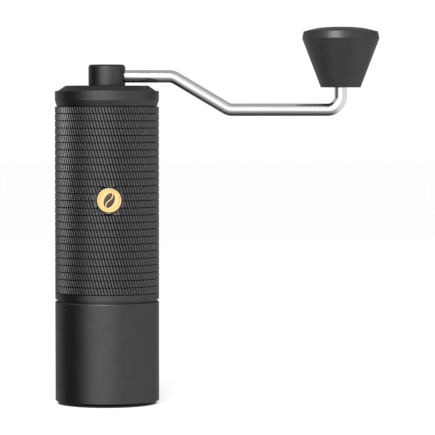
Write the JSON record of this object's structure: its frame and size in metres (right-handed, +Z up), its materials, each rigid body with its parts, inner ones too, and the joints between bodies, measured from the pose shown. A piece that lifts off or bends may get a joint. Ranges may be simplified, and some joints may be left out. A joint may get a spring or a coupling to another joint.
{
  "type": "hand crank coffee grinder",
  "caption": "Slim cylindrical hand coffee grinder with catch cup, knurled barrel, conical burrs, lift-off lid and a bent crank with a conical knob.",
  "frame": {"origin": "centre of the foot pad's underside, on the surface the grinder stands on", "axes": "+Z up along the barrel's axis, +X towards the crank's knob, -Y towards the badge"},
  "size_m": [0.1724, 0.055, 0.1994],
  "materials": {
    "anodised_shell": "fine matte charcoal anodising",
    "barrel_aluminium": "satin turned",
    "rubber": "matte black",
    "gold_badge": "satin gold anodising, engraved",
    "ground_steel": "ground",
    "spring_steel": "oiled spring steel",
    "black_steel": "black oxide",
    "burr_steel": "milled",
    "brass": "turned",
    "polished_rod": "mirror polished",
    "nylon": "natural",
    "knob_plastic": "fine satin black"
  },
  "bodies": {
    "cup": {"cup_shell": "anodised_shell", "foot_pad": "rubber"},
    "barrel": {"grip_sleeve": "anodised_shell", "badge": "gold_badge", "inner_barrel": "barrel_aluminium", "bearing_bridge": "barrel_aluminium", "bridge_snap_ring": "spring_steel", "burr_carrier": "barrel_aluminium", "outer_burr": "burr_steel", "burr_retainer": "ground_steel", "upper_outer_race": "ground_steel", "lower_outer_race": "ground_steel"},
    "upper_balls": {"upper_ball_cage": "brass"},
    "lower_balls": {"lower_ball_cage": "brass"},
    "shaft": {"drive_shaft": "ground_steel", "upper_inner_race": "ground_steel", "lower_inner_race": "ground_steel", "upper_shaft_clip": "spring_steel", "lower_shaft_clip": "spring_steel", "burr_spring": "spring_steel"},
    "burr": {"inner_burr": "burr_steel", "click_plate": "ground_steel", "spring_washer": "ground_steel"},
    "dial": {"adjusting_dial": "brass", "click_ball_1": "ground_steel", "click_ball_2": "ground_steel", "click_spring_1": "spring_steel", "click_spring_2": "spring_steel"},
    "lid": {"lid_cap": "anodised_shell", "lid_seal": "rubber", "lid_bush": "nylon"},
    "crank": {"crank_hub": "anodised_shell", "drive_socket": "ground_steel", "hub_clip": "spring_steel", "grub_screw": "black_steel", "crank_rod": "polished_rod", "knob_washer": "ground_steel", "knob_screw": "black_steel"},
    "knob": {"knob_body": "knob_plastic", "knob_cap": "knob_plastic", "lower_knob_bush": "nylon", "upper_knob_bush": "nylon"}
  },
  "joints": [
    {"name": "barrel_lift", "type": "slide", "parent": "cup", "child": "barrel", "axis": [0, 0, 1], "range_m": [0, 0.06]},
    {"name": "lid_lift", "type": "slide", "parent": "barrel", "child": "lid", "axis": [0, 0, 1], "range_m": [0, 0.05]},
    {"name": "crank_spin", "type": "hinge", "parent": "lid", "child": "crank", "pos_m": [0, 0, 0.1731], "axis": [0, 0, 1], "continuous": true},
    {"name": "knob_spin", "type": "hinge", "parent": "crank", "child": "knob", "pos_m": [0.1243, 0, 0.1672], "axis": [0, 0, 1], "continuous": true},
    {"name": "shaft_spin", "type": "hinge", "parent": "barrel", "child": "shaft", "pos_m": [0, 0, 0.11], "axis": [0, 0, 1], "continuous": true},
    {"name": "upper_balls_spin", "type": "hinge", "parent": "barrel", "child": "upper_balls", "pos_m": [0, 0, 0.1363], "axis": [0, 0, 1], "continuous": true},
    {"name": "lower_balls_spin", "type": "hinge", "parent": "barrel", "child": "lower_balls", "pos_m": [0, 0, 0.0885], "axis": [0, 0, 1], "continuous": true},
    {"name": "burr_travel", "type": "slide", "parent": "shaft", "child": "burr", "axis": [0, 0, -1], "range_m": [0, 0.001], "deforming": ["burr_spring"]},
    {"name": "dial_turn", "type": "hinge", "parent": "burr", "child": "dial", "pos_m": [0, 0, 0.0554], "axis": [0, 0, 1], "range_deg": [0, 720]}
  ],
  "couplings": [
    {"joint": "shaft_spin", "follows": "crank_spin", "ratio": 1},
    {"joint": "upper_balls_spin", "follows": "crank_spin", "ratio": 0.415},
    {"joint": "lower_balls_spin", "follows": "crank_spin", "ratio": 0.415}
  ]
}
